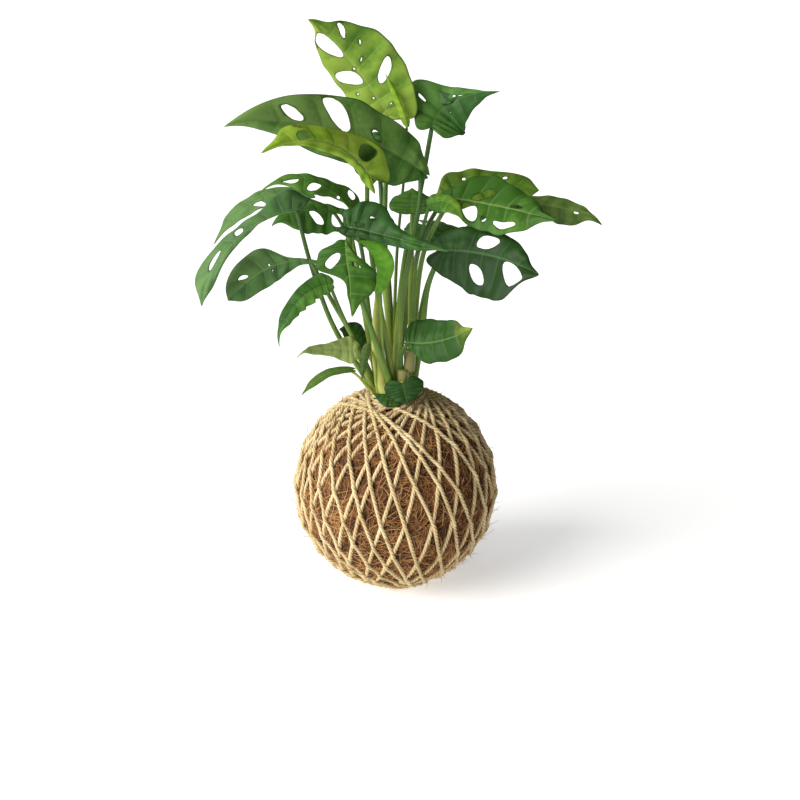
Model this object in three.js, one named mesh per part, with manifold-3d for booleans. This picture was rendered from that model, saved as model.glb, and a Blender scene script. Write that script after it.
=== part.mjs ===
// A holed-leaf plant whose root ball is wrapped in coconut fibre and bound with jute twine.
// Millimetres, +Z up, the front faces -Y. The origin is the middle of the flat spot it rests on.
import * as THREE from 'three';
import { mergeVertices } from 'three/addons/utils/BufferGeometryUtils.js';
import Module from 'manifold-3d';

const wasm = await Module();
wasm.setup();

// The ball, the soil in it and the twine round it
const BALL_CENTRE = new THREE.Vector3(0, 0, 68);
const COIR_RADIUS = 67.5;
const COIR_WALL = 7;
const MOUTH_RADIUS = 21;
const FLAT_RADIUS = 17;
const GAP = 0.3;
const SOIL_GAP = 1;
const TWINE_THICKNESS = 2.8;
const TWINE_SIDES = 4;
const TWINE_STEPS = 28;
const TWINE_GAP = 0.5;
// Each loop of twine is a circle round the ball, whose axis leans this far from upright
const TWINE_LOOPS = 9;
const TWINE_LEAN = 73;
const TWINE_FIRST_SIDE = 5;

// The stems, and the stalks that carry the leaves
const STEM_RADIUS = 4.5;
const STEM_FOOT = 96;
const STEM_TOP = 137;
const STEM_SIDES = 12;
const STALK_RADIUS = 1.5;
const STALK_SIDES = 5;
const STALK_STEPS = 8;
const STEMS = {
  left: [-10, -5],
  front: [1, -11],
  right: [11, 1],
  back: [-2, 11],
};

// The blades
const BLADE_THICKNESS = 0.8;
const EDGE_WAVE = 1.2;
const EDGE_WAVES = 3;
const FULL_WAVE_AT = 20;
const HOLE_POINTS = 6;
const SHORT_LEAF = 50;
// Side veins leave the midrib at VEIN_ROOTS and meet the edge at VEIN_TIPS, as shares of the length
const VEIN_ROOTS = [0, 0.02, 0.06, 0.14, 0.26, 0.4, 0.56, 0.76, 1];
const VEIN_TIPS = [-0.02, -0.08, 0.02, 0.14, 0.3, 0.46, 0.62, 0.8, 1];
const WIDTHS_AT = [-0.1, 0.12, 0.42, 0.75, 1];

const GREEN = { pale: 0x8aa83c, fresh: 0x5b9a35, mid: 0x2f7d32, deep: 0x1f5a2c, olive: 0x4b5f2a };

// Each leaf: where its midrib starts, is half way along and ends, which way its blade faces, its
// half widths left and right of the midrib at the seven side veins (or just near the base, in the
// middle and near the tip), how far its base lobes reach back, how blunt its tip is, and the stem
// and the points its stalk passes. Holes are [place between side veins, place from midrib 0 to
// edge 1, half size along both].
const LEAVES = [
  {
    name: 'leaf_top', colour: 'fresh', stem: 'back', via: [[-7, 13, 240], [-6, 22, 288]],
    base: [-3, 15, 322], middle: [-30, 13, 361], tip: [-54, -2, 390], face: [-0.3, -0.9, 0.35],
    left: [9, 14, 16.5, 17.5, 17, 15, 9.5], right: [13, 22, 25, 28, 28, 21, 12],
    fold: -0.1, lobe: 1,
    holesLeft: [[6.55, 0.46, 0.55, 0.4], [4.72, 0.46, 0.42, 0.38]],
    holesRight: [[3.98, 0.5, 0.36, 0.26], [5.78, 0.55, 0.09, 0.12], [6.7, 0.62, 0.2, 0.22]],
  },
  {
    name: 'leaf_upper_left', colour: 'deep', stem: 'front',
    via: [[4, -14, 200], [11, -14, 245], [16, -11, 272]],
    base: [20, -8, 290], middle: [-38, -26, 324], tip: [-106, -52, 334], face: [0.1, -0.85, 0.5],
    left: [3.5, 13, 20, 18, 19, 17, 8], right: [3, 11.5, 18, 22.5, 23.5, 21.5, 14],
    fold: -0.1, lobe: 0.4,
    holesRight: [[4.2, 0.23, 0.18, 0.13], [5.47, 0.48, 0.28, 0.4], [6.66, 0.38, 0.2, 0.3]],
  },
  {
    name: 'leaf_upper_young', colour: 'pale', stem: 'front',
    via: [[-15, -22, 235], [-18, -25, 268], [-18, -30, 283]],
    base: [-16, -34, 295], middle: [-44, -52, 322], tip: [-83, -76, 320], face: [0.1, -0.8, 0.6],
    left: [3, 6, 5, 6, 7, 5, 2], right: [9, 18, 18, 14, 11, 13, 12], fold: -0.2, lobe: 1.6,
    holesRight: [[6.5, 0.28, 0.24, 0.24], [2.9, 0.48, 0.42, 0.3]],
  },
  {
    name: 'leaf_upper_right', colour: 'deep', stem: 'back', via: [[6, 10, 225], [16, 14, 270]],
    base: [24, 14, 316], middle: [38, 20, 332], tip: [68, -6, 344], face: [0.1, -0.9, 0.4],
    left: [8, 12, 17, 27, 13, 7, 2.5], right: [9, 18, 22, 22, 19, 15, 7], fold: -0.05, lobe: 1,
    holesLeft: [[3.8, 0.58, 0.12, 0.17], [6.04, 0.27, 0.2, 0.12]],
    holesRight: [[4.79, 0.26, 0.15, 0.1]],
  },
  {
    name: 'leaf_right_back', colour: 'olive', stem: 'back', via: [[10, 13, 200], [18, 17, 240]],
    base: [31, 20, 267], middle: [63, 29, 272], tip: [97, 34, 268], face: [0.1, -0.7, 0.7],
    left: [2.5, 10, 17, 17, 15, 13, 10], right: [5, 10, 12, 12, 12, 10, 7],
    fold: -0.1, lobe: 0.6, blunt: 0.08,
    holesLeft: [[3.96, 0.54, 0.14, 0.11], [6.32, 0.52, 0.14, 0.13]],
  },
  {
    name: 'leaf_right_front', colour: 'fresh', stem: 'right', via: [[14, -1, 200], [20, -3, 240]],
    base: [34, -4, 273], middle: [68, -22, 272], tip: [103, -46, 269], face: [0.05, -0.7, 0.7],
    left: [5, 10, 21, 25, 21, 16, 9.5], right: [2, 4, 11, 17.5, 20, 19, 12], fold: -0.1, lobe: 1,
    holesLeft: [[4.3, 0.28, 0.5, 0.2], [6.44, 0.2, 0.3, 0.12]],
    holesRight: [[3.8, 0.48, 0.6, 0.3], [6.04, 0.69, 0.55, 0.13]],
  },
  {
    name: 'leaf_far_right', colour: 'olive', stem: 'right', via: [[20, 8, 205], [38, 12, 240]],
    base: [73, 14, 265], middle: [106, 4, 265], tip: [134, -12, 261], face: [0.2, -0.7, 0.7],
    left: [5, 9, 6], right: [11, 10, 12], fold: -0.1, lobe: 1,
    holesRight: [[6.75, 0.25, 0.14, 0.15]],
  },
  {
    name: 'leaf_right_large', colour: 'deep', stem: 'right', via: [[18, -5, 180], [22, -9, 215]],
    base: [29, -16, 241], middle: [63, -36, 243], tip: [92, -60, 237], face: [0.05, -0.9, 0.43],
    left: [4, 11, 16, 18, 17, 15, 8], right: [6, 15, 21, 26, 28, 28, 24], fold: -0.08, lobe: 1.6,
    holesLeft: [[4.93, 0.46, 0.6, 0.26]],
    holesRight: [[4.8, 0.52, 0.5, 0.22], [6.86, 0.43, 0.45, 0.34]],
  },
  {
    name: 'leaf_centre_front', colour: 'deep', stem: 'front',
    via: [[-16, -26, 190], [-27, -34, 230]],
    base: [-32, -37, 263], middle: [-1, -50, 259], tip: [35, -66, 254], face: [0, -0.92, 0.4],
    left: [9, 14, 19.5, 19.5, 10, 5, 3.5], right: [4, 6.5, 5.5, 5.5, 5.5, 5.5, 3.5],
    fold: -0.1, lobe: 1,
    holesLeft: [[2.9, 0.2, 0.5, 0.11]],
  },
  {
    name: 'leaf_left_arched', colour: 'mid', stem: 'left', via: [[-18, -10, 200], [-22, -13, 240]],
    base: [-28, -16, 269], middle: [-55, -24, 291], tip: [-87, -38, 286], face: [0, -0.45, 0.9],
    left: [1, 2, 4, 9, 13.5, 12.5, 3], right: [8, 14, 12, 7, 6, 6.5, 5], fold: -0.15, lobe: 1,
    holesLeft: [[6.7, 0.4, 0.35, 0.3], [5.23, 0.48, 0.42, 0.27]],
    holesRight: [[2.26, 0.6, 0.36, 0.24]],
  },
  {
    name: 'leaf_left_bright', colour: 'fresh', stem: 'back',
    via: [[-22, 8, 200], [-30, 7, 238], [-42, 6, 262]],
    base: [-59, 4, 271], middle: [-92, 2, 269], tip: [-119, -14, 244], face: [-0.3, -0.5, 0.8],
    left: [8, 8, 5], right: [8, 9, 8], fold: -0.1, lobe: 1,
    holesLeft: [[5.27, 0.56, 0.4, 0.32]],
  },
  {
    name: 'leaf_far_left', colour: 'mid', stem: 'left', via: [[-40, -13, 185], [-55, -17, 230]],
    base: [-61, -28, 272], middle: [-99, -42, 258], tip: [-126, -58, 219], face: [-0.4, -0.75, 0.5],
    left: [1.5, 1, 0.8, 0.6, 3, 3.2, 5], right: [7, 15, 14, 7.5, 8, 9.5, 10.5],
    fold: -0.1, lobe: 1, blunt: 0.09,
    holesRight: [[5.45, 0.36, 0.26, 0.22], [6.7, 0.34, 0.28, 0.16]],
  },
  {
    name: 'leaf_left_middle', colour: 'deep', stem: 'left', via: [[-20, -4, 190], [-26, -3, 230]],
    base: [-30, -4, 261], middle: [-56, -8, 266], tip: [-81, -18, 261], face: [0, -0.7, 0.7],
    left: [14, 17, 13], right: [4, 6, 5], fold: -0.1, lobe: 1,
    holesLeft: [[5, 0.36, 0.6, 0.26], [2.9, 0.42, 0.65, 0.32]],
  },
  {
    name: 'leaf_left_lower', colour: 'deep', stem: 'left', via: [[-26, -12, 175], [-42, -20, 208]],
    base: [-53, -26, 236], middle: [-82, -34, 234], tip: [-108, -48, 216], face: [-0.1, -0.85, 0.5],
    left: [1, 2, 3, 7, 10, 11, 8.5], right: [1, 1.5, 2, 4.5, 14.5, 16, 9.5],
    fold: -0.08, lobe: 0.6, blunt: 0.09,
    holesRight: [[6.78, 0.34, 0.16, 0.17]],
  },
  {
    name: 'leaf_left_torn', colour: 'mid', stem: 'left', via: [[-26, -15, 175], [-36, -20, 200]],
    base: [-41, -31, 222], middle: [-62, -40, 214], tip: [-78, -52, 189], face: [-0.2, -0.85, 0.4],
    left: [7, 8, 4], right: [9, 7, 5], fold: -0.08, lobe: 1,
  },
  {
    name: 'leaf_centre_left', colour: 'fresh', stem: 'front',
    via: [[-14, -30, 185], [-25, -40, 225]],
    base: [-32, -46, 256], middle: [-30, -50, 237], tip: [-28, -52, 206], face: [0, -0.95, 0.3],
    left: [1, 2, 3, 7, 14, 18, 14], right: [4, 9, 16, 20, 20, 4, 2], fold: -0.08, lobe: 0.5,
    holesLeft: [[5.06, 0.36, 0.28, 0.14]],
    holesRight: [[4.4, 0.45, 0.6, 0.22]],
  },
  {
    name: 'leaf_bright_band', colour: 'pale', stem: 'front', via: [[-8, -24, 170], [-9, -28, 195]],
    base: [-11, -32, 220], middle: [-7, -34, 242], tip: [-27, -34, 253], face: [0, -0.98, 0.2],
    left: [5, 8, 5], right: [5, 5, 4], fold: -0.1, lobe: 1,
  },
  {
    name: 'leaf_low_right', colour: 'mid', stem: 'front', via: [[3, -13, 152], [3, -20, 170]],
    base: [7, -28, 181], middle: [28, -40, 186], tip: [50, -58, 201], face: [0, -0.85, 0.5],
    left: [10, 16, 17, 17, 15.5, 13, 9.5], right: [1, 2, 7, 13, 14, 14, 11], fold: -0.1, lobe: 0.8,
  },
  {
    name: 'leaf_low_left', colour: 'pale', stem: 'left', via: [[-18, -13, 150], [-23, -18, 164]],
    base: [-26, -25, 175], middle: [-44, -32, 178], tip: [-64, -44, 179], face: [0, -0.75, 0.65],
    left: [10, 6, 3], right: [10, 5, 4], fold: -0.1, lobe: 1,
  },
  {
    name: 'leaf_lowest_left', colour: 'pale', stem: 'left', via: [[-20, -15, 147], [-25, -20, 155]],
    base: [-29, -24, 161], middle: [-47, -33, 160], tip: [-62, -46, 150], face: [-0.1, -0.6, 0.8],
    left: [3, 3, 3], right: [3, 4, 3], fold: -0.1, lobe: 1,
  },
  {
    name: 'leaf_small_dark', colour: 'deep', stem: 'back', via: [[-12, 6, 150], [-17, 1, 160]],
    base: [-21, -2, 169], middle: [-29, -4, 179], tip: [-38, -6, 183], face: [0, -0.9, 0.4],
    left: [6, 7, 4], right: [5, 9, 6], fold: -0.1, lobe: 1,
  },
  {
    name: 'leaf_round', colour: 'deep', stem: 'front', via: [[3, -16, 145], [4, -18, 150]],
    base: [5, -22.5, 150.5], middle: [6.5, -25.5, 144], tip: [8, -28, 137], face: [0, -0.85, 0.5],
    left: [7, 12, 14, 13.5, 12, 9.5, 6], right: [7, 12, 13, 13, 12, 9.5, 6], fold: -0.05, lobe: 3.5,
  },
  {
    name: 'leaf_on_ball', colour: 'deep', stem: 'front', via: [[2, -16, 137]],
    base: [2, -20, 139], middle: [-6, -21, 139], tip: [-16, -16, 142], face: [0, -0.6, 0.8],
    left: [5, 6, 3], right: [4, 5, 3], fold: -0.1, lobe: 1,
  },
  {
    name: 'leaf_small_centre', colour: 'mid', stem: 'right', via: [[10, 1, 200], [11, 0, 235]],
    base: [11, -2, 262], middle: [11, -4, 271], tip: [11, -8, 281], face: [0, -0.8, 0.6],
    left: [14, 15, 8], right: [14, 15, 8], fold: -0.05, lobe: 1,
  },
  {
    name: 'leaf_folded', colour: 'pale', stem: 'right', via: [[12, -6, 200], [15, -10, 240]],
    base: [21, -12, 271], middle: [35, -20, 274], tip: [44, -32, 264], face: [0.2, -0.8, 0.6],
    left: [6, 6, 4], right: [7, 9, 5], fold: -0.15, lobe: 1,
  },
  {
    name: 'leaf_back_high', colour: 'mid', stem: 'back', via: [[-4, 15, 200], [-8, 22, 245]],
    base: [-10, 28, 280], middle: [-14, 54, 300], tip: [-20, 88, 292], face: [0.1, -0.1, 1],
    left: [18, 22, 13], right: [18, 21, 12], fold: -0.1, lobe: 1,
    holesLeft: [[3.5, 0.5, 0.4, 0.3], [5.5, 0.45, 0.4, 0.25]],
    holesRight: [[4.5, 0.5, 0.4, 0.3]],
  },
  {
    name: 'leaf_back_left', colour: 'deep', stem: 'back', via: [[-5, 18, 180], [-9, 25, 212]],
    base: [-12, 30, 235], middle: [-22, 60, 240], tip: [-32, 92, 222], face: [-0.2, 0.1, 1],
    left: [15, 17, 10], right: [16, 18, 11], fold: -0.1, lobe: 1,
    holesRight: [[4.5, 0.5, 0.4, 0.3]],
  },
  {
    name: 'leaf_back_right', colour: 'mid', stem: 'back', via: [[4, 19, 180], [11, 27, 212]],
    base: [17, 32, 235], middle: [31, 60, 238], tip: [46, 92, 220], face: [0.2, 0.1, 1],
    left: [16, 18, 11], right: [15, 17, 10], fold: -0.1, lobe: 1,
    holesLeft: [[4.5, 0.5, 0.4, 0.3]],
  },
  {
    name: 'leaf_spear', colour: 'pale', stem: 'back', via: [[1, 12, 230], [6, 16, 285]],
    base: [8, 9, 318], middle: [2, 9, 335], tip: [-7, 10, 353], face: [0, -0.9, 0.4],
    left: [3, 3, 2], right: [3, 3, 2], fold: -0.6, lobe: 0.3,
  },
  {
    name: 'leaf_dried', colour: 'olive', stem: 'left', via: [[-13, -17, 150], [-14, -22, 168]],
    base: [-18, -28, 180], middle: [-21, -30, 168], tip: [-22, -31, 155], face: [0, -0.95, 0.3],
    left: [3, 3, 2], right: [3, 3, 2], fold: -0.3, lobe: 0.3,
  },
];

// ---- small helpers ----------------------------------------------------------------------------

const vec = (a) => new THREE.Vector3(...a);

function solidFromGeometry(geometry) {
  const bare = geometry.clone();
  for (const name of Object.keys(bare.attributes)) {
    if (name !== 'position') bare.deleteAttribute(name);
  }
  const merged = mergeVertices(bare, 1e-4);
  return new wasm.Manifold(new wasm.Mesh({
    numProp: 3,
    vertProperties: merged.attributes.position.array,
    triVerts: new Uint32Array(merged.index.array),
  }));
}

function geometryFromSolid(solid) {
  const mesh = solid.getMesh();
  const geometry = new THREE.BufferGeometry();
  geometry.setAttribute('position', new THREE.BufferAttribute(mesh.vertProperties, 3));
  geometry.setIndex(new THREE.BufferAttribute(mesh.triVerts, 1));
  geometry.computeVertexNormals();
  return geometry;
}

function tube(curve, radius, sides, steps) {
  const ring = [];
  for (let i = 0; i < sides; i++) {
    const a = (2 * Math.PI * i) / sides;
    ring.push(new THREE.Vector2(radius * Math.cos(a), radius * Math.sin(a)));
  }
  const section = new THREE.Shape(ring);
  return new THREE.ExtrudeGeometry(section, { steps, extrudePath: curve, bevelEnabled: false });
}

function drum(radius, bottom, top, x, y, sides) {
  const g = new THREE.CylinderGeometry(radius, radius, top - bottom, sides);
  g.rotateX(Math.PI / 2);
  g.translate(x, y, (top + bottom) / 2);
  return g;
}

function lathe(profile, sides) {
  const g = new THREE.LatheGeometry(profile.map(([r, z]) => new THREE.Vector2(r, z)), sides);
  g.rotateX(Math.PI / 2);
  return g;
}

// Points of a circle arc about the ball's centre, from one height to another
function arc(radius, fromHeight, toHeight, steps) {
  const c = BALL_CENTRE.z;
  const a0 = Math.asin((fromHeight - c) / radius);
  const a1 = Math.asin((toHeight - c) / radius);
  const points = [];
  for (let i = 0; i <= steps; i++) {
    const a = a0 + ((a1 - a0) * i) / steps;
    points.push([radius * Math.cos(a), c + radius * Math.sin(a)]);
  }
  return points;
}

const heightAt = (radius, r, sign) => BALL_CENTRE.z + sign * Math.sqrt(radius * radius - r * r);

// ---- ball -------------------------------------------------------------------------------------

function coirCover() {
  const inner = COIR_RADIUS - COIR_WALL;
  const foot = heightAt(COIR_RADIUS, FLAT_RADIUS, -1);
  const rim = heightAt(COIR_RADIUS, MOUTH_RADIUS, 1);
  const profile = [
    [0, 0],
    [FLAT_RADIUS, 0],
    ...arc(COIR_RADIUS, foot, rim, 14),
    ...arc(inner, heightAt(inner, MOUTH_RADIUS, 1), BALL_CENTRE.z - inner, 10),
  ];
  return solidFromGeometry(lathe(profile, 30));
}

function soilCore() {
  const radius = COIR_RADIUS - COIR_WALL - SOIL_GAP;
  const c = BALL_CENTRE.z;
  let soil = solidFromGeometry(lathe(arc(radius, c - radius, c + radius, 12), 24));
  for (const [x, y] of Object.values(STEMS)) {
    const hole = drum(STEM_RADIUS + GAP, STEM_FOOT - GAP, c + radius + 1, x, y, STEM_SIDES);
    soil = soil.subtract(solidFromGeometry(hole));
  }
  return soil;
}

function twineLoop(side) {
  const radius = COIR_RADIUS + TWINE_GAP + TWINE_THICKNESS / 2;
  const rad = THREE.MathUtils.degToRad;
  const axis = new THREE.Vector3(0, 0, 1).applyAxisAngle(new THREE.Vector3(0, 1, 0), rad(TWINE_LEAN));
  axis.applyAxisAngle(new THREE.Vector3(0, 0, 1), rad(side));
  const geometry = new THREE.TorusGeometry(radius, TWINE_THICKNESS / 2, TWINE_SIDES, TWINE_STEPS);
  geometry.applyQuaternion(new THREE.Quaternion().setFromUnitVectors(new THREE.Vector3(0, 0, 1), axis));
  geometry.translate(BALL_CENTRE.x, BALL_CENTRE.y, BALL_CENTRE.z);
  return solidFromGeometry(geometry);
}

function twineWrap() {
  const loops = [];
  for (let i = 0; i < TWINE_LOOPS; i++) {
    loops.push(twineLoop(TWINE_FIRST_SIDE + (360 * i) / TWINE_LOOPS));
  }
  return loops.reduce((all, loop) => all.add(loop));
}

// ---- leaves -----------------------------------------------------------------------------------

// A smooth curve through uneven steps xs, ys
function smooth(xs, ys, x) {
  let i = 0;
  while (i < xs.length - 2 && x > xs[i + 1]) i++;
  const slope = (k) => {
    if (k === 0) return (ys[1] - ys[0]) / (xs[1] - xs[0]);
    if (k === xs.length - 1) return (ys[k] - ys[k - 1]) / (xs[k] - xs[k - 1]);
    return (ys[k + 1] - ys[k - 1]) / (xs[k + 1] - xs[k - 1]);
  };
  const h = xs[i + 1] - xs[i];
  const t = (x - xs[i]) / h;
  const a = ys[i] * (1 + 2 * t) * (1 - t) ** 2 + ys[i + 1] * t * t * (3 - 2 * t);
  return a + h * t * (1 - t) * (slope(i) * (1 - t) - slope(i + 1) * t);
}

// The edge at vein number s, as [share of the length, half width]
function edge(widths, leaf, s) {
  const plain = VEIN_TIPS.slice(3, -1).map((u) => smooth(WIDTHS_AT, [0.45 * widths[0], ...widths, 0], u));
  const veins = widths.length > 3 ? widths : [0.4 * widths[0], 0.84 * widths[0], ...plain];
  const across = [0.04 * widths[0], ...veins, 0];
  const along = [...VEIN_TIPS];
  along[1] *= leaf.lobe;
  along[2] -= 0.05 * (leaf.lobe - 1);
  along[7] += leaf.blunt ?? 0;
  const places = VEIN_TIPS.map((_, i) => i);
  return [smooth(places, along, s), smooth(places, across, s)];
}

// A point of the blade's middle surface, and the way it faces there
function bladePoint(leaf, u, v) {
  const [base, middle, tip] = [leaf.base, leaf.middle, leaf.tip].map(vec);
  const pull = middle.clone().multiplyScalar(2).addScaledVector(base, -0.5).addScaledVector(tip, -0.5);
  const w = THREE.MathUtils.clamp(u, 0, 1);
  const point = base.clone().multiplyScalar((1 - w) ** 2);
  point.addScaledVector(pull, 2 * w * (1 - w)).addScaledVector(tip, w * w);
  if (u < 0) point.addScaledVector(pull.clone().sub(base), 2 * u);
  const along = pull.clone().sub(base).multiplyScalar(1 - w);
  along.addScaledVector(tip.clone().sub(pull), w).normalize();
  const side = along.clone().cross(vec(leaf.face)).normalize();
  const facing = side.clone().cross(along);
  const half = Math.max(...leaf.left, ...leaf.right);
  const height = EDGE_WAVE * Math.min(1, half / FULL_WAVE_AT);
  const wave = height * Math.sin(2 * Math.PI * EDGE_WAVES * u) * (v / half) ** 2;
  point.addScaledVector(side, v).addScaledVector(facing, leaf.fold * Math.abs(v) + wave);
  return { point, facing };
}

// One half of the blade as flat polygons between side veins, each with the holes that lie in it
function halfBlade(leaf, widths, holes, sign, addPoint, addTriangle) {
  const length = vec(leaf.base).distanceTo(vec(leaf.tip));
  const last = VEIN_TIPS.length - 1;
  const onVein = (s, r) => {
    const [edgeAlong, edgeAcross] = edge(widths, leaf, s);
    const root = smooth(VEIN_TIPS.map((_, i) => i), VEIN_ROOTS, s);
    return [root + (edgeAlong - root) * r, edgeAcross * r];
  };
  // A slight bow keeps the midrib's points out of one straight line while the polygons are split
  const flat = ([u, v]) => new THREE.Vector2(u * length, v + 0.001 * (u * length) ** 2);
  const crossed = (k) => holes.some(([s, , ds]) => s - ds < k && s + ds > k);
  const step = length < SHORT_LEAF ? 1 : 0.5;
  let start = 0;
  for (let k = 1; k <= last; k++) {
    if (k < last && crossed(k)) continue;
    const outline = [];
    for (let i = start; i <= k; i++) outline.push(onVein(i, 0));
    for (let i = k; i >= start; i -= step) {
      if (i < last) outline.push(onVein(i, 1));
    }
    const inside = holes.filter(([s]) => s > start && s < k).map(([s, r, ds, dr]) => {
      const rim = [];
      for (let i = 0; i < HOLE_POINTS; i++) {
        const a = (2 * Math.PI * i) / HOLE_POINTS;
        rim.push(onVein(s + ds * Math.cos(a), r + dr * Math.sin(a)));
      }
      return rim;
    });
    const all = [...outline, ...inside.flat()];
    const split = THREE.ShapeUtils.triangulateShape(outline.map(flat), inside.map((rim) => rim.map(flat)));
    const index = all.map(([u, v]) => addPoint(u, sign * v));
    for (const [a, b, c] of split) {
      const [p, q, t] = [a, b, c].map((i) => flat(all[i]));
      const turn = (q.x - p.x) * (t.y - p.y) - (q.y - p.y) * (t.x - p.x);
      const order = turn * sign > 0 ? [a, b, c] : [a, c, b];
      addTriangle(...order.map((i) => index[i]));
    }
    start = k;
  }
}

function blade(leaf) {
  const places = new Map();
  const points = [];
  const addPoint = (u, v) => {
    const key = u.toFixed(4) + ' ' + v.toFixed(3);
    if (!places.has(key)) {
      places.set(key, points.length);
      points.push(bladePoint(leaf, u, v));
    }
    return places.get(key);
  };
  const triangles = [];
  const addTriangle = (a, b, c) => {
    if (a !== b && b !== c && c !== a) triangles.push([a, b, c]);
  };
  halfBlade(leaf, leaf.left, leaf.holesLeft ?? [], -1, addPoint, addTriangle);
  halfBlade(leaf, leaf.right, leaf.holesRight ?? [], 1, addPoint, addTriangle);

  const count = points.length;
  const position = new Float32Array(6 * count);
  points.forEach(({ point, facing }, i) => {
    point.clone().addScaledVector(facing, BLADE_THICKNESS / 2).toArray(position, 3 * i);
    point.clone().addScaledVector(facing, -BLADE_THICKNESS / 2).toArray(position, 3 * (count + i));
  });
  const faces = [];
  const edges = new Set(triangles.flatMap(([a, b, c]) => [a + ' ' + b, b + ' ' + c, c + ' ' + a]));
  for (const [a, b, c] of triangles) {
    faces.push(a, c, b, a + count, b + count, c + count);
    for (const [p, q] of [[a, b], [b, c], [c, a]]) {
      if (!edges.has(q + ' ' + p)) faces.push(p, q, q + count, p, q + count, p + count);
    }
  }
  const geometry = new THREE.BufferGeometry();
  geometry.setAttribute('position', new THREE.BufferAttribute(position, 3));
  geometry.setIndex(faces);
  return solidFromGeometry(geometry);
}

// ---- stems ------------------------------------------------------------------------------------

// A stalk from its stem to just behind the foot of the blade
function stalk(leaf) {
  const { point, facing } = bladePoint(leaf, 0.01, 0);
  const end = point.addScaledVector(facing, -(STALK_RADIUS + BLADE_THICKNESS / 2 + GAP));
  const [x, y] = STEMS[leaf.stem];
  const start = [new THREE.Vector3(x, y, STEM_TOP - 16), new THREE.Vector3(x, y, STEM_TOP - 6)];
  const curve = new THREE.CatmullRomCurve3([...start, ...leaf.via.map(vec), end]);
  return solidFromGeometry(tube(curve, STALK_RADIUS, STALK_SIDES, STALK_STEPS));
}

function stem(name) {
  const [x, y] = STEMS[name];
  let solid = solidFromGeometry(drum(STEM_RADIUS, STEM_FOOT, STEM_TOP, x, y, STEM_SIDES));
  for (const leaf of LEAVES) {
    if (leaf.stem === name) solid = solid.add(stalk(leaf));
  }
  return solid;
}

// ---- the plant --------------------------------------------------------------------------------

const plant = new THREE.Group();

function addPart(name, solid, colour, roughness) {
  const material = new THREE.MeshStandardMaterial({ color: colour, roughness, metalness: 0 });
  const mesh = new THREE.Mesh(geometryFromSolid(solid), material);
  mesh.name = name;
  plant.add(mesh);
}

addPart('soil_core', soilCore(), 0x3a2a1e, 1);
addPart('coir_cover', coirCover(), 0x8a5a30, 1);
addPart('twine_wrap', twineWrap(), 0xb59a68, 0.9);
for (const name of Object.keys(STEMS)) addPart('stem_' + name, stem(name), 0x9db552, 0.5);
for (const leaf of LEAVES) addPart(leaf.name, blade(leaf), GREEN[leaf.colour], 0.35);

export default plant;
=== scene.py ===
# A holed-leaf plant in a coconut-fibre ball bound with jute twine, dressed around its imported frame.
import math
import random

import bmesh
import bpy
from mathutils import Matrix, Vector, noise


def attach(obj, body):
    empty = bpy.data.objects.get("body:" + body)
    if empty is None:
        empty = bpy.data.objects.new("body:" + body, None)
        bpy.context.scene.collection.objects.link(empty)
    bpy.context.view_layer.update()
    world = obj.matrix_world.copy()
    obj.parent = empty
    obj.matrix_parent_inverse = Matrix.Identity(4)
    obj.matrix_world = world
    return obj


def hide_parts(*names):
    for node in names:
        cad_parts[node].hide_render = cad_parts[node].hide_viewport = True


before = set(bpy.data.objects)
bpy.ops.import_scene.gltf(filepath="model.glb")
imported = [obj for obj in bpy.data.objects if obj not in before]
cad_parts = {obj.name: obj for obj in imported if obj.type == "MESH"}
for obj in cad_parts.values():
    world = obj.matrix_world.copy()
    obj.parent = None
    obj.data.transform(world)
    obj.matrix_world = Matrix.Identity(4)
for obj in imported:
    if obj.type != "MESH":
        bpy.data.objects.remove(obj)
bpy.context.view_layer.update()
mm = 0.001


# ---- small helpers

def colour(code):
    # an sRGB hex code as the linear colour that shaders take
    parts = [int(code[i:i + 2], 16) / 255 for i in (0, 2, 4)]
    return [c / 12.92 if c <= 0.04045 else ((c + 0.055) / 1.055) ** 2.4 for c in parts] + [1]


def showMesh(name, mesh):
    for face in mesh.polygons:
        face.use_smooth = True
    piece = bpy.data.objects.new(name, mesh)
    bpy.context.scene.collection.objects.link(piece)
    return piece


def addObject(name, bm, materials):
    mesh = bpy.data.meshes.new(name)
    bm.to_mesh(mesh)
    bm.free()
    for material in materials:
        mesh.materials.append(material)
    return showMesh(name, mesh)


def placePiece(piece, slot, *nodes):
    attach(piece, "root")
    if nodes:
        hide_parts(*nodes)


def subdivide(piece, levels):
    finish = piece.modifiers.new("finer", "SUBSURF")
    finish.levels = finish.render_levels = levels


def slopes(xs, ys, k):
    if k == 0:
        return (ys[1] - ys[0]) / (xs[1] - xs[0])
    if k == len(xs) - 1:
        return (ys[k] - ys[k - 1]) / (xs[k] - xs[k - 1])
    return (ys[k + 1] - ys[k - 1]) / (xs[k + 1] - xs[k - 1])


def smooth(xs, ys, x):
    # a smooth curve through uneven steps; ys may be numbers or vectors
    i = 0
    while i < len(xs) - 2 and x > xs[i + 1]:
        i += 1
    h = xs[i + 1] - xs[i]
    t = (x - xs[i]) / h
    a = ys[i] * ((1 + 2 * t) * (1 - t) ** 2) + ys[i + 1] * (t * t * (3 - 2 * t))
    turn = slopes(xs, ys, i) * (1 - t) - slopes(xs, ys, i + 1) * t
    return a + turn * (h * t * (1 - t))


def smoothPath(points, count):
    # evenly spaced points on a smooth curve through a few points
    reach = [0]
    for a, b in zip(points, points[1:]):
        reach.append(reach[-1] + (b - a).length)
    return [smooth(reach, points, reach[-1] * i / (count - 1)) for i in range(count)]


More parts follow.
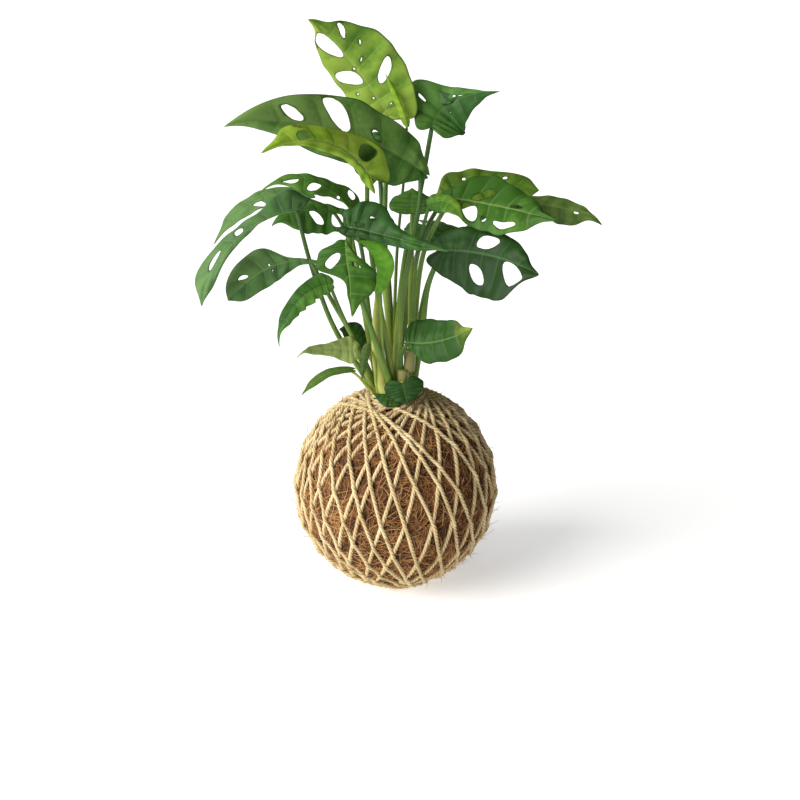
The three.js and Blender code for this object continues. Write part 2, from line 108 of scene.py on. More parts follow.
def sweep(bm, path, radii, sides, flat=1.0):
    # a circle extruded from point to point along a path, with both ends closed
    ends = [path[1] - path[0]] + [b - a for a, b in zip(path, path[2:])] + [path[-1] - path[-2]]
    frames = []
    side = Vector((1, 0, 0))
    for point, along, radius in zip(path, ends, radii):
        along = along.normalized()
        side = (side - along * side.dot(along)).normalized()
        turn = Matrix((side, along.cross(side), along)).transposed().to_4x4()
        size = Matrix.Diagonal((radius, radius * flat, radius, 1))
        frames.append(Matrix.Translation(point) @ turn @ size)
    made = bmesh.ops.create_circle(bm, cap_ends=False, radius=1, segments=sides)["verts"]
    bmesh.ops.transform(bm, matrix=frames[0], verts=made)
    edges = list({edge for vert in made for edge in vert.link_edges})
    first = edges
    for before, after in zip(frames, frames[1:]):
        grown = bmesh.ops.extrude_edge_only(bm, edges=edges)["geom"]
        verts = [g for g in grown if isinstance(g, bmesh.types.BMVert)]
        edges = [g for g in grown if isinstance(g, bmesh.types.BMEdge)]
        bmesh.ops.transform(bm, matrix=after @ before.inverted(), verts=verts)
    bmesh.ops.holes_fill(bm, edges=first + edges, sides=sides)


def joinInto(bm, part):
    # adds a finished part's mesh to another one
    mesh = bpy.data.meshes.new("part")
    part.to_mesh(mesh)
    part.free()
    bm.from_mesh(mesh)
    bpy.data.meshes.remove(mesh)


# ---- helpers for materials

def newMaterial(name, roughness, specular):
    material = bpy.data.materials.new(name)
    material.use_nodes = True
    shader = material.node_tree.nodes["Principled BSDF"]
    shader.inputs["Roughness"].default_value = roughness
    shader.inputs["Specular IOR Level"].default_value = specular
    return material, material.node_tree, shader


def addNode(tree, kind, **values):
    node = tree.nodes.new(kind)
    for key, value in values.items():
        if key in node.inputs:
            node.inputs[key].default_value = value
        else:
            setattr(node, key, value)
    return node


def splitUp(tree, vector):
    # the X, Y and Z of a vector
    node = addNode(tree, "ShaderNodeSeparateXYZ")
    tree.links.new(vector, node.inputs["Vector"])
    return node.outputs


def noiseFrom(tree, source, scale, detail=4, stretch=(1, 1, 1)):
    mapping = addNode(tree, "ShaderNodeMapping")
    mapping.inputs["Scale"].default_value = stretch
    tree.links.new(source, mapping.inputs["Vector"])
    pattern = addNode(tree, "ShaderNodeTexNoise", Scale=scale, Detail=detail)
    tree.links.new(mapping.outputs["Vector"], pattern.inputs["Vector"])
    return pattern.outputs["Fac"]


def ramp(tree, source, *stops):
    node = addNode(tree, "ShaderNodeValToRGB")
    marks = node.color_ramp.elements
    while len(marks) < len(stops):
        marks.new(0.5)
    for mark, (place, code) in zip(marks, stops):
        mark.position = place
        mark.color = colour(code)
    tree.links.new(source, node.inputs["Fac"])
    return node.outputs["Color"]


def spread(tree, source, low, high, toLow=0.0, toHigh=1.0, kind="SMOOTHSTEP"):
    node = addNode(tree, "ShaderNodeMapRange", interpolation_type=kind)
    for key, value in (("From Min", low), ("From Max", high), ("To Min", toLow), ("To Max", toHigh)):
        node.inputs[key].default_value = value
    tree.links.new(source, node.inputs["Value"])
    return node.outputs["Result"]


def maths(tree, operation, a, b=None):
    node = addNode(tree, "ShaderNodeMath", operation=operation)
    for socket, value in zip(node.inputs, (a, b)):
        if isinstance(value, (int, float)):
            socket.default_value = value
        elif value is not None:
            tree.links.new(value, socket)
    return node.outputs["Value"]


def weigh(tree, *shares):
    # the sum of some patterns, each times its share
    total = None
    for pattern, share in shares:
        part = maths(tree, "MULTIPLY", pattern, share)
        total = part if total is None else maths(tree, "ADD", total, part)
    return total


def mixColours(tree, amount, first, second):
    node = addNode(tree, "ShaderNodeMix", data_type="RGBA")
    tree.links.new(amount, node.inputs[0])
    for socket, value in zip((node.inputs[6], node.inputs[7]), (first, second)):
        if isinstance(value, list):
            socket.default_value = value
        else:
            tree.links.new(value, socket)
    return node.outputs[2]


def bump(tree, shader, height, distance, strength):
    node = addNode(tree, "ShaderNodeBump", Distance=distance, Strength=strength)
    tree.links.new(height, node.inputs["Height"])
    tree.links.new(node.outputs["Normal"], shader.inputs["Normal"])


def objectPlace(tree):
    return addNode(tree, "ShaderNodeTexCoord").outputs["Object"]


def paint(tree, shader, shade):
    tree.links.new(shade, shader.inputs["Base Color"])


def attribute(tree, name):
    return addNode(tree, "ShaderNodeAttribute", attribute_name=name).outputs["Fac"]


# ---- camera, floor and light

cameraSetup = {
    "lookAt": Vector((3.1, 20.1, 123.3)),  # mm, the middle of the photograph
    "distance": 1500,
    "elevation": 20,  # degrees above the floor
    "frameWidth": 551.2,  # mm seen across the picture at the object
    "sensorWidth": 36,
    "clipEnd": 50,  # metres
}
studio = {
    "floorSize": 12,  # metres
    "floorColour": "ececec",
    "floorRoughness": 0.9,
    "floorSpecular": 0.1,
    "floorGlow": 0.5,  # a light table, so that only the darkest part of the shadow is left
    "skyLeft": 0.85,
    "skyRight": 0.0,
    "skyFade": (-0.8, 0.3),  # where it starts and ends, from left to right
    "sunStrength": 4.35,
    "sunColour": (1, 0.98, 0.95),
    "sunFrom": Vector((-0.8, -0.52, 0.46)),
    "sunAngle": 50,  # degrees across, for soft shadows
}


def makeCamera():
    data = bpy.data.cameras.new("camera")
    data.sensor_width = cameraSetup["sensorWidth"]
    data.lens = data.sensor_width * cameraSetup["distance"] / cameraSetup["frameWidth"]
    data.clip_end = cameraSetup["clipEnd"]
    camera = bpy.data.objects.new("camera", data)
    tilt = math.radians(cameraSetup["elevation"])
    back = Vector((0, -math.cos(tilt), math.sin(tilt))) * cameraSetup["distance"]
    camera.location = (cameraSetup["lookAt"] + back) * mm
    camera.rotation_euler = (math.radians(90) - tilt, 0, 0)
    bpy.context.scene.collection.objects.link(camera)
    bpy.context.scene.camera = camera


def makeSky():
    # a bright wall on the left fading to a dim one on the right
    world = bpy.data.worlds.new("studio")
    world.use_nodes = True
    tree = world.node_tree
    sky = tree.nodes["Background"]
    sky.inputs["Color"].default_value = (1, 1, 1, 1)
    place = splitUp(tree, addNode(tree, "ShaderNodeTexCoord").outputs["Generated"])
    levels = (*studio["skyFade"], studio["skyLeft"], studio["skyRight"])
    tree.links.new(spread(tree, place["X"], *levels, "LINEAR"), sky.inputs["Strength"])
    bpy.context.scene.world = world


def makeStudio():
    scene = bpy.context.scene
    scene.view_settings.view_transform = "Standard"
    makeSky()
    data = bpy.data.lights.new("sun", "SUN")
    data.energy = studio["sunStrength"]
    data.angle = math.radians(studio["sunAngle"])
    data.color = studio["sunColour"]
    sun = bpy.data.objects.new("sun", data)
    sun.rotation_euler = studio["sunFrom"].to_track_quat("Z", "Y").to_euler()
    scene.collection.objects.link(sun)

    material, _, shader = newMaterial("floor", studio["floorRoughness"], studio["floorSpecular"])
    shader.inputs["Base Color"].default_value = colour(studio["floorColour"])
    shader.inputs["Emission Color"].default_value = (1, 1, 1, 1)
    shader.inputs["Emission Strength"].default_value = studio["floorGlow"]
    bm = bmesh.new()
    bmesh.ops.create_grid(bm, x_segments=1, y_segments=1, size=studio["floorSize"] / 2)
    floor = addObject("floor", bm, [material])


makeCamera()
makeStudio()
print("camera, floor and light are in place")


# ---- materials of the leaves

veinSteps = 8  # from a leaf's foot to its tip, counted between its side veins

leafLooks = {
    # dark, plain and light greens, the veins, the underside, the roughness of the top
    "leaf_pale": ("4f7a1c", "759a28", "9db844", "b4c878", "86a04a", 0.5),
    "leaf_fresh": ("335a1b", "537c26", "86a33e", "a0b868", "75964a", 0.48),
    "leaf_mid": ("244517", "365f21", "578234", "789a50", "5f8648", 0.46),
    "leaf_deep": ("1e3916", "2d5022", "47702d", "5a8045", "4d7040", 0.45),
    "leaf_olive": ("2e411c", "455d26", "69843b", "849158", "667844", 0.48),
    # four more looks, for single leaves
    "leaf_dull": ("2b4a1b", "41682a", "6c8c48", "6f8a50", "4d7040", 0.43),
    "leaf_cool": ("2e4a2a", "46683a", "5e8048", "7a9a62", "6a8a54", 0.42),
    "leaf_mist": ("56762f", "76944a", "97a862", "b4c090", "86a060", 0.5),
    "leaf_vivid": ("336a18", "4a8722", "6aa432", "86b048", "6a9440", 0.48),
}
leafPaint = {
    "patchScale": 42,
    "mottleScale": 300,
    "grainScale": 700,
    "sideVein": 0.09,  # half width as a share of the step between two side veins
    "sideStrength": 0.12,
    "midrib": 0.05,  # half width as a share of the half blade
    "midribStrength": 0.28,
    "quiltShadeBands": 0.12,  # painted light and shade: how much lighter the blade is between its side veins, where it bulges, and darker along them
    "edgeShadeStrength": 0.6,  # painted shade: the thin dark line round margins and holes, standing for the blade's cut edge in shade
    "edgeShadeColour": "1d3312",
    "specular": 0.12,
    "aged": ("7d8a30", "5f5e2a"),
}


def lookOf(slot):
    return dict(zip(("dark", "plain", "light", "vein", "under", "rough"), leafLooks[slot]))


def leafTop(slot):
    look = lookOf(slot)
    material, tree, shader = newMaterial(slot + " top", look["rough"], leafPaint["specular"])
    place = objectPlace(tree)
    onLeaf = splitUp(tree, addNode(tree, "ShaderNodeUVMap", uv_map="leafMap").outputs["UV"])
    across = maths(tree, "SUBTRACT", maths(tree, "MULTIPLY", onLeaf["Y"], 2), 1)
    across = maths(tree, "ABSOLUTE", across)
    toVein = maths(tree, "PINGPONG", maths(tree, "MULTIPLY", onLeaf["X"], veinSteps), 0.5)
    thin = spread(tree, across, 0, 1, leafPaint["sideVein"], leafPaint["sideVein"] * 0.4)
    onSide = maths(tree, "SUBTRACT", 1, spread(tree, maths(tree, "DIVIDE", toVein, thin), 0.2, 1))
    onSide = maths(tree, "MULTIPLY", onSide, spread(tree, across, 0.5, 0.95, 1, 0.1))
    offMiddle = spread(tree, across, leafPaint["midrib"] * 0.4, leafPaint["midrib"])
    onMiddle = maths(tree, "SUBTRACT", 1, offMiddle)
    mottle = noiseFrom(tree, place, leafPaint["mottleScale"], 5)
    level = weigh(tree, (noiseFrom(tree, place, leafPaint["patchScale"], 3), 0.6), (mottle, 0.3))
    level = maths(tree, "ADD", level, maths(tree, "SUBTRACT", attribute(tree, "tone"), 0.45))
    # painted light and shade: lighter between the side veins, darker along them, as the quilted blade is
    # lit
    quiltShadeBand = spread(tree, toVein, 0, 0.5, -leafPaint["quiltShadeBands"] / 2, leafPaint["quiltShadeBands"] / 2)
    level = maths(tree, "ADD", level, quiltShadeBand)
    green = ramp(tree, level, (0.25, look["dark"]), (0.5, look["plain"]), (0.8, look["light"]))
    aged = ramp(tree, mottle, (0.35, leafPaint["aged"][1]), (0.55, leafPaint["aged"][0]))
    green = mixColours(tree, attribute(tree, "blush"), green, aged)
    for onVein, strength in ((onSide, "sideStrength"), (onMiddle, "midribStrength")):
        amount = maths(tree, "MULTIPLY", onVein, leafPaint[strength])
        green = mixColours(tree, amount, green, colour(look["vein"]))
    # painted shade: a thin dark line along the margins and the hole rims
    rim = spread(tree, attribute(tree, "rim"), 0.45, 0.95, 0, leafPaint["edgeShadeStrength"])
    green = mixColours(tree, rim, green, colour(leafPaint["edgeShadeColour"]))
    paint(tree, shader, green)
    grain = maths(tree, "MULTIPLY", noiseFrom(tree, place, leafPaint["grainScale"], 3), 0.3)
    height = maths(tree, "SUBTRACT", grain, maths(tree, "MULTIPLY", onSide, 0.5))
    bump(tree, shader, height, 0.0004, 0.6)
    return material


def leafUnder(slot):
    look = lookOf(slot)
    material, tree, shader = newMaterial(slot + " underside", 0.6, 0.2)
    place = objectPlace(tree)
    shade = ramp(tree, noiseFrom(tree, place, 60), (0.3, look["plain"]), (0.65, look["under"]))
    faded = maths(tree, "MULTIPLY", attribute(tree, "blush"), 0.8)
    shade = mixColours(tree, faded, shade, colour(leafPaint["aged"][1]))
    paint(tree, shader, shade)
    bump(tree, shader, noiseFrom(tree, place, leafPaint["grainScale"]), 0.0003, 0.5)
    return material


def leafRib(slot):
    look = lookOf(slot)
    material, tree, shader = newMaterial(slot + " rib", 0.5, 0.3)
    patches = noiseFrom(tree, objectPlace(tree), 150, 3)
    shade = ramp(tree, patches, (0.3, look["under"]), (0.7, look["vein"]))
    paint(tree, shader, shade)
    return material


# ---- the leaves, as the frame has them, with finer edges, veins and holes

blade = {
    "alongSteps": 56,  # faces along a large leaf
    "halfSteps": 10,  # faces from midrib to edge
    "smallSteps": (28, 5),  # the same for leaves under smallLength
    "smallLength": 42,
    "thickness": 0.55,
    "edgeWave": 1.2,
    "edgeWaves": 3,
    "fullWaveAt": 20,
    "uneven": ((0.02, 2.7), (0.012, 6.1)),  # how the margin wanders: share of the width, waves
    "tearDepth": 0.3,  # how deep a torn margin's teeth are, as a share of the width
    "quilt": 1.25,  # how far the leaf bulges between side veins
    "lumps": 1.1,
    "ribDepth": 0.5,
    "ribWidth": 1.1,
    "edgeTurn": 0.9,  # how far the margin turns down
    "ripple": 0.7,
    "rippleWaves": 5.2,
    "sharpUnder": 5,  # half width under which the blade flattens, so the tip and the foot stay sharp
    "hookFrom": 0.88,  # share of the length where a hooked tip starts
    "agedRight": 0.35,  # how much of the left half's ageing the right half has
    "ribRadius": 0.95,
    "ribSteps": 16,
    "holeCorners": 2.6,  # 2 would be an oval, more is squarer
    "holeLeast": 0.2,  # how narrow a tapered hole's end may get
}
veinRoots = [0, 0.02, 0.06, 0.14, 0.26, 0.4, 0.56, 0.76, 1]
veinTips = [-0.02, -0.08, 0.02, 0.14, 0.3, 0.46, 0.62, 0.8, 1]
widthsAt = [-0.1, 0.12, 0.42, 0.75, 1]
veinNumbers = list(range(veinSteps + 1))

# what a leaf has unless its own entry says otherwise
plainLeaf = {
    "fold": -0.1,  # how far each half falls back, as a share of its width
    "lobe": 1,  # how far the foot's lobes reach back
    "tone": 0.5,  # or four: the left half's at foot and tip, and then the right half's; a difference between the halves is partly painted light and shade, where one half catches more light
    "torn": 0,  # -1 where the left margin is torn
    "hook": (0, 0, 0),  # mm that the tip is bent by
    "curl": (0, 0, 0),  # half, vein where it ends, and mm that its edge is raised by
    "aged": (20, 21),  # from which vein to which it yellows
    "holesLeft": (),
    "holesRight": (),
}
# name, slot, stem, its stalk's way, where the blade starts, is half way and ends, where it faces, its left
# and right half widths, and what else it has
# a hole: vein number, share of the half width, half its length and width, and its taper and lean
leafRows = [
    ["leaf_top", "leaf_fresh", "back", [(-7, 13, 240), (-6, 22, 288)],
     (-3, 15, 322), (-30, 13, 361), (-54, -2, 390), (-0.3, -0.9, 0.35), (9, 14, 16.5, 17.5, 17, 15, 9.5),
     (13, 22, 25, 28, 28, 21, 12), dict(tone=(0.92, 0.94, 0.82, 0.57), hook=(-2, 0, 0),
     holesLeft=[(6.7, 0.47, 0.55, 0.45, -0.45, 0.33), (4.72, 0.46, 0.38, 0.4, -0.25, 0.2),
     (5.09, 0.08, 0.08, 0.05), (3.78, 0.51, 0.06, 0.05), (3.27, 0.12, 0.1, 0.05)],
     holesRight=[(4, 0.51, 0.28, 0.27, 0.1, 0.25), (5.78, 0.55, 0.04, 0.1, 0, 0.1),
     (5.19, 0.23, 0.04, 0.07, 0, 0.08), (6.7, 0.62, 0.14, 0.25, 0, 0.24),
     (2.27, 0.22, 0.12, 0.06, 0, 0.15)])],
    ["leaf_upper_left", "leaf_deep", "front", [(4, -14, 200), (11, -14, 245), (16, -11, 272)],
     (20, -8, 290), (-38, -26, 324), (-106, -52, 334), (0.1, -0.85, 0.5), (3.5, 13, 20, 18, 19, 17, 8),
     (3, 11.5, 18, 22.5, 23.5, 21.5, 14), dict(look="leaf_dull", lobe=0.12, blunt=0, foot=0.9,
     tone=(0.35, 0.75, 0.5, 0.85), hook=(-2, 0, -3), holesRight=[(4.2, 0.23, 0.17, 0.13),
     (5.45, 0.45, 0.3, 0.44, 0.05, 0.1), (6.68, 0.36, 0.15, 0.33, -0.3, 0.1)])],
    ["leaf_upper_young", "leaf_pale", "front", [(-15, -22, 235), (-18, -25, 268), (-18, -30, 283)],
     (-16, -34, 295), (-44, -52, 322), (-83, -76, 320), (0.1, -0.8, 0.6), (3, 6, 5, 6, 7, 5, 2),
     (9, 18, 18, 14, 11, 13, 12), dict(fold=-0.2, lobe=1.6, tone=(0.7, 0.65, 0.7, 0.6), curl=(1, 3, 5),
     holesRight=[(6.5, 0.28, 0.24, 0.26, 0, -0.12), (2.88, 0.48, 0.45, 0.33, -0.15, -0.08),
     (6.5, 0.82, 0.08, 0.1, 0, 0.2)])],
    # its left half is set lighter: painted light where the leaf above shades it
    ["leaf_upper_right", "leaf_deep", "back", [(6, 10, 225), (16, 14, 270)],
     (24, 14, 316), (38, 20, 332), (68, -6, 344), (0.1, -0.9, 0.4), (8, 12, 17, 27, 13, 7, 2.5),
     (9, 18, 22, 22, 19, 15, 7), dict(fold=-0.05, tone=(0.95, 0.65, 0.75, 0.4),
     holesLeft=[(3.8, 0.58, 0.08, 0.17), (6.04, 0.27, 0.12, 0.12, 0, -0.45), (5.82, 0.08, 0.12, 0.05)],
     holesRight=[(4.79, 0.26, 0.06, 0.06, 0, 0.28)])],
    ["leaf_right_back", "leaf_olive", "back", [(10, 13, 200), (18, 17, 240)],
     (31, 20, 267), (63, 29, 272), (97, 34, 268), (0.1, -0.7, 0.7), (2.5, 10, 17, 17, 15, 13, 10),
     (5, 10, 12, 12, 12, 10, 7), dict(look="leaf_fresh", lobe=0.6, blunt=0.08, tone=(0.6, 0.62, 0.6, 0.62),
     holesLeft=[(3.95, 0.54, 0.13, 0.07), (6.32, 0.52, 0.11, 0.09)])],
    ["leaf_right_front", "leaf_fresh", "right", [(14, -1, 200), (20, -3, 240)],
     (34, -4, 273), (68, -22, 272), (103, -46, 269), (0.05, -0.7, 0.7), (5, 10, 21, 25, 21, 16, 9.5),
     (2, 4, 11, 17.5, 20, 19, 12), dict(tone=(0.05, 0.35, 0.1, 0.35),
     holesLeft=[(4.3, 0.27, 0.42, 0.22, -0.1, 0.4), (6.35, 0.15, 0.28, 0.09, 0, 0.15)],
     holesRight=[(3.82, 0.47, 0.57, 0.33, -0.1, 0.12), (4.82, 0.6, 0.15, 0.1, 0, -0.05),
     (6.05, 0.69, 0.58, 0.11, -0.2, 0.1)])],
    ["leaf_far_right", "leaf_olive", "right", [(20, 8, 205), (38, 12, 240)],
     (73, 14, 265), (106, 4, 265), (134, -12, 261), (0.2, -0.7, 0.7), (5, 9, 6), (11, 10, 12),
     dict(tone=0.58, hook=(2, 0, -5), holesRight=[(6.82, 0.12, 0.15, 0.08)])],
    ["leaf_right_large", "leaf_deep", "right", [(18, -5, 180), (22, -9, 215)],
     (29, -16, 241), (63, -36, 243), (92, -60, 237), (0.05, -0.9, 0.43), (4, 11, 16, 18, 17, 15, 8),
     (6, 15, 21, 26, 28, 28, 24), dict(fold=-0.08, lobe=1.6, tone=(0.5, 0.2, 0.2, 0.05),
     holesLeft=[(4.95, 0.45, 0.55, 0.27, 0, 0.15)], holesRight=[(4.8, 0.52, 0.48, 0.22, 0, 0.33),
     (6.98, 0.43, 0.34, 0.4, -0.55, 0.38)])],
    ["leaf_centre_front", "leaf_deep", "front", [(-16, -26, 190), (-27, -34, 230)],
     (-32, -37, 263), (-1, -50, 259), (35, -66, 254), (0, -0.92, 0.4), (9, 14, 19.5, 19.5, 10, 5, 3.5),
     (4, 6.5, 5.5, 5.5, 5.5, 5.5, 3.5), dict(tone=(0.4, 0.5, 0.05, 0.7),
     holesLeft=[(2.88, 0.14, 0.75, 0.08), (3.84, 0.46, 0.28, 0.04)])],
    ["leaf_left_arched", "leaf_mid", "left", [(-18, -10, 200), (-22, -13, 240)],
     (-28, -16, 269), (-55, -24, 291), (-87, -38, 286), (0, -0.45, 0.9), (1, 2, 4, 9, 13.5, 12.5, 3),
     (8, 14, 12, 7, 6, 6.5, 5), dict(fold=-0.15, tone=0.8, hook=(-1, 0, -2),
     holesLeft=[(6.7, 0.36, 0.35, 0.33, -0.5), (5.23, 0.48, 0.4, 0.29, 0, 0.25), (3.12, 0.6, 0.12, 0.2)],
     holesRight=[(2.25, 0.62, 0.38, 0.25, 0, 0.1)])],
    ["leaf_left_bright", "leaf_fresh", "back", [(-22, 8, 200), (-30, 7, 238), (-42, 6, 262)],
     (-59, 4, 271), (-92, 2, 269), (-119, -14, 244), (-0.3, -0.5, 0.8), (8, 8, 5), (8, 9, 8),
     dict(look="leaf_cool", tone=0.75, holesLeft=[(5.25, 0.56, 0.3, 0.36, -0.3, -0.35)])],
    ["leaf_far_left", "leaf_mid", "left", [(-40, -13, 185), (-55, -17, 230)],
     (-61, -28, 272), (-99, -42, 258), (-126, -58, 219), (-0.4, -0.75, 0.5), (1.5, 1, 0.8, 0.6, 3, 3.2, 5),
     (7, 15, 14, 7.5, 8, 9.5, 10.5), dict(look="leaf_cool", blunt=0.09, tone=(0.36, 0.65, 0.36, 0.7),
     hook=(2, 0, -4), stalkTone=0.2, holesRight=[(5.45, 0.36, 0.22, 0.24, 0, -0.1),
     (6.73, 0.31, 0.3, 0.13, 0, -0.2)])],
    ["leaf_left_middle", "leaf_deep", "left", [(-20, -4, 190), (-26, -3, 230)],
     (-30, -4, 261), (-56, -8, 266), (-81, -18, 261), (0, -0.7, 0.7), (14, 17, 13), (4, 6, 5),
     dict(tone=0.82, hook=(0, 0, -4), holesLeft=[(5.02, 0.34, 0.45, 0.3, 0.2, -0.5),
     (2.9, 0.41, 0.68, 0.35, 0, -0.15)])],
    ["leaf_left_lower", "leaf_deep", "left", [(-26, -12, 175), (-42, -20, 208)],
     (-53, -26, 236), (-82, -34, 234), (-108, -48, 216), (-0.1, -0.85, 0.5), (1, 2, 3, 7, 10, 11, 8.5),
     (1, 1.5, 2, 4.5, 14.5, 16, 9.5), dict(look="leaf_cool", fold=-0.08, lobe=0.6, blunt=0.09,
     tone=(0.75, 0.5, 0.5, 0.9), holesLeft=[(5.46, 0.28, 0.1, 0.07, 0, 0.15)],
     holesRight=[(6.79, 0.33, 0.12, 0.18, 0, 0.08), (5.5, 0.11, 0.04, 0.09)])],
    ["leaf_left_torn", "leaf_mid", "left", [(-26, -15, 175), (-36, -20, 200)],
     (-41, -31, 222), (-62, -40, 214), (-78, -52, 189), (-0.2, -0.85, 0.4), (7, 8.5, 5), (9, 7, 5),
     dict(fold=-0.08, lobe=0.3, tone=(0.75, 0.6, 0.6, 0.5), torn=-1, hook=(3, 0, -4))],
    ["leaf_centre_left", "leaf_fresh", "front", [(-14, -30, 185), (-25, -40, 225)],
     (-32, -46, 256), (-30, -50, 237), (-28, -52, 206), (0, -0.95, 0.3), (1, 2, 3, 7, 14, 18, 14),
     (4, 9, 16, 20, 20, 4, 2), dict(fold=-0.08, lobe=0.5, tone=(0.15, 0.35, 0.1, 0.2),
     holesLeft=[(5.06, 0.36, 0.22, 0.15, 0, 0.15)], holesRight=[(4.4, 0.45, 0.6, 0.23, 0, 0.35)])],
    ["leaf_bright_band", "leaf_pale", "front", [(-8, -24, 170), (-9, -28, 195)],
     (-11, -32, 220), (-7, -34, 242), (-27, -34, 253), (0, -0.98, 0.2), (5, 8, 5), (5, 5, 4),
     dict(look="leaf_vivid", tone=0.62)],
    ["leaf_low_right", "leaf_mid", "front", [(4, -13, 152), (4, -20, 170)],
     (7, -28, 181), (28, -40, 186), (50, -58, 201), (0, -0.85, 0.5), (10, 16, 17, 17, 15.5, 13, 9.5),
     (1, 2, 7, 13, 14, 14, 11), dict(lobe=0.8, tone=0.25, aged=(6.7, 7.9), stalkTone=0.42)],
    ["leaf_low_left", "leaf_pale", "left", [(-18, -13, 150), (-23, -18, 164)],
     (-26, -25, 175), (-44, -32, 178), (-64, -44, 179), (0, -0.75, 0.65), (10, 6, 3), (10, 5, 4),
     dict(look="leaf_mist", tone=(0.9, 0.7, 0.95, 0.7), hook=(-1, 0, -4))],
    ["leaf_lowest_left", "leaf_pale", "left", [(-20, -15, 147), (-25, -20, 155)],
     (-29, -24, 161), (-47, -33, 160), (-62, -46, 150), (-0.1, -0.6, 0.8), (3, 3, 3), (3, 4, 3),
     dict(look="leaf_mist", tone=0.1)],
    ["leaf_small_dark", "leaf_deep", "back", [(-12, 6, 150), (-17, 1, 160)],
     (-21, -2, 169), (-29, -4, 179), (-38, -6, 183), (0, -0.9, 0.4), (6, 7, 4), (5, 9, 6), {}],
    ["leaf_round", "leaf_deep", "front", [(3, -16, 145), (4, -18, 150)],
     (5, -22.5, 150.5), (6.5, -25.5, 144), (8, -28, 137), (0, -0.85, 0.5), (7, 12, 14, 13.5, 12, 9.5, 6),
     (7, 12, 13, 13, 12, 9.5, 6), dict(fold=-0.05, lobe=3.5, tone=0.38)],
    ["leaf_on_ball", "leaf_deep", "front", [(2, -16, 137)],
     (2, -20, 139), (-6, -21, 139), (-16, -16, 142), (0, -0.6, 0.8), (5, 6, 3), (4, 5, 3),
     dict(holesLeft=[(4.6, 0.45, 0.35, 0.3)])],
    ["leaf_small_centre", "leaf_mid", "right", [(10, 1, 200), (11, 0, 235)],
     (11, -2, 262), (11, -4, 271), (11, -8, 281), (0, -0.8, 0.6), (14, 15, 8), (14, 15, 8), dict(fold=-0.05,
     tone=0.65)],
    ["leaf_folded", "leaf_pale", "right", [(12, -6, 200), (15, -10, 240)],
     (21, -12, 271), (35, -20, 274), (44, -32, 264), (0.2, -0.8, 0.6), (6, 6, 4), (7, 9, 5),
     dict(look="leaf_fresh", fold=-0.15, lobe=0.3, tone=(0.35, 0.55, 0.1, 0.4))],
    ["leaf_back_high", "leaf_mid", "back", [(-4, 15, 200), (-8, 22, 245)],
     (-10, 28, 280), (-14, 54, 300), (-20, 88, 292), (0.1, -0.1, 1), (18, 22, 13), (18, 21, 12),
     dict(holesLeft=[(3.5, 0.5, 0.4, 0.3), (5.5, 0.45, 0.4, 0.25)], holesRight=[(4.5, 0.5, 0.4, 0.3)])],
    ["leaf_back_left", "leaf_deep", "back", [(-5, 18, 180), (-9, 25, 212)],
     (-12, 30, 235), (-22, 60, 240), (-32, 92, 222), (-0.2, 0.1, 1), (15, 17, 10), (16, 18, 11),
     dict(holesRight=[(4.5, 0.5, 0.4, 0.3)])],
    ["leaf_back_right", "leaf_mid", "back", [(4, 19, 180), (11, 27, 212)],
     (17, 32, 235), (31, 60, 238), (46, 92, 220), (0.2, 0.1, 1), (16, 18, 11), (15, 17, 10),
     dict(holesLeft=[(4.5, 0.5, 0.4, 0.3)])],
    ["leaf_spear", "leaf_pale", "back", [(1, 12, 230), (6, 16, 285)],
     (8, 9, 318), (2, 9, 335), (-7, 10, 353), (0, -0.9, 0.4), (3, 3, 2), (3, 3, 2), dict(fold=-0.6,
     lobe=0.3)],
    ["leaf_dried", "leaf_olive", "left", [(-13, -17, 150), (-14, -22, 168)],
     (-18, -28, 180), (-21, -30, 168), (-22, -31, 155), (0, -0.95, 0.3), (3, 3, 2), (3, 3, 2),
     dict(fold=-0.3, lobe=0.3, tone=0.4)],
]
leafKeys = ("name", "slot", "stem", "via", "base", "middle", "tip", "face", "left", "right")
leaves = [{**plainLeaf, **dict(zip(leafKeys, row)), **row[-1]} for row in leafRows]


def edgeOf(leaf, side, s):
    # where vein number s meets the edge: share of the length, half width
    widths = list(leaf[side])
    if len(widths) == 3:  # a plain leaf, whose half widths are given at its quarters
        plain = [smooth(widthsAt, [0.45 * widths[0], *widths, 0], u) for u in veinTips[3:-1]]
        widths = [0.4 * widths[0], 0.84 * widths[0], *plain]
    across = [leaf.get("foot", 0.04 * leaf[side][0]), *widths, 0]
    along = list(veinTips)
    along[1] *= leaf["lobe"]
    along[2] -= 0.05 * (leaf["lobe"] - 1)
    along[7] += leaf.get("blunt", 0)
    narrowed = 1
    if s > 7 and "blunt" not in leaf:  # a drawn-out tip
        narrowed -= 0.35 * math.sin(math.pi * (s - 7))
    return smooth(veinNumbers, along, s), smooth(veinNumbers, across, s) * narrowed


def surfacePoint(leaf, u, v):
    # the blade's middle surface at share u of its length and v mm from its midrib
    base, middle, tip = (Vector(leaf[key]) for key in ("base", "middle", "tip"))
    pull = middle * 2 - (base + tip) / 2
    w = min(max(u, 0), 1)
    point = base * (1 - w) ** 2 + pull * (2 * w * (1 - w)) + tip * w * w
    if u < 0:
        point += (pull - base) * 2 * u
    along = ((pull - base) * (1 - w) + (tip - pull) * w).normalized()
    side = along.cross(Vector(leaf["face"])).normalized()
    facing = side.cross(along)
    half = max(*leaf["left"], *leaf["right"])
    height = blade["edgeWave"] * min(1, half / blade["fullWaveAt"])
    wave = height * math.sin(2 * math.pi * blade["edgeWaves"] * u) * (v / half) ** 2
    return point + side * v + facing * (leaf["fold"] * abs(v) + wave), facing


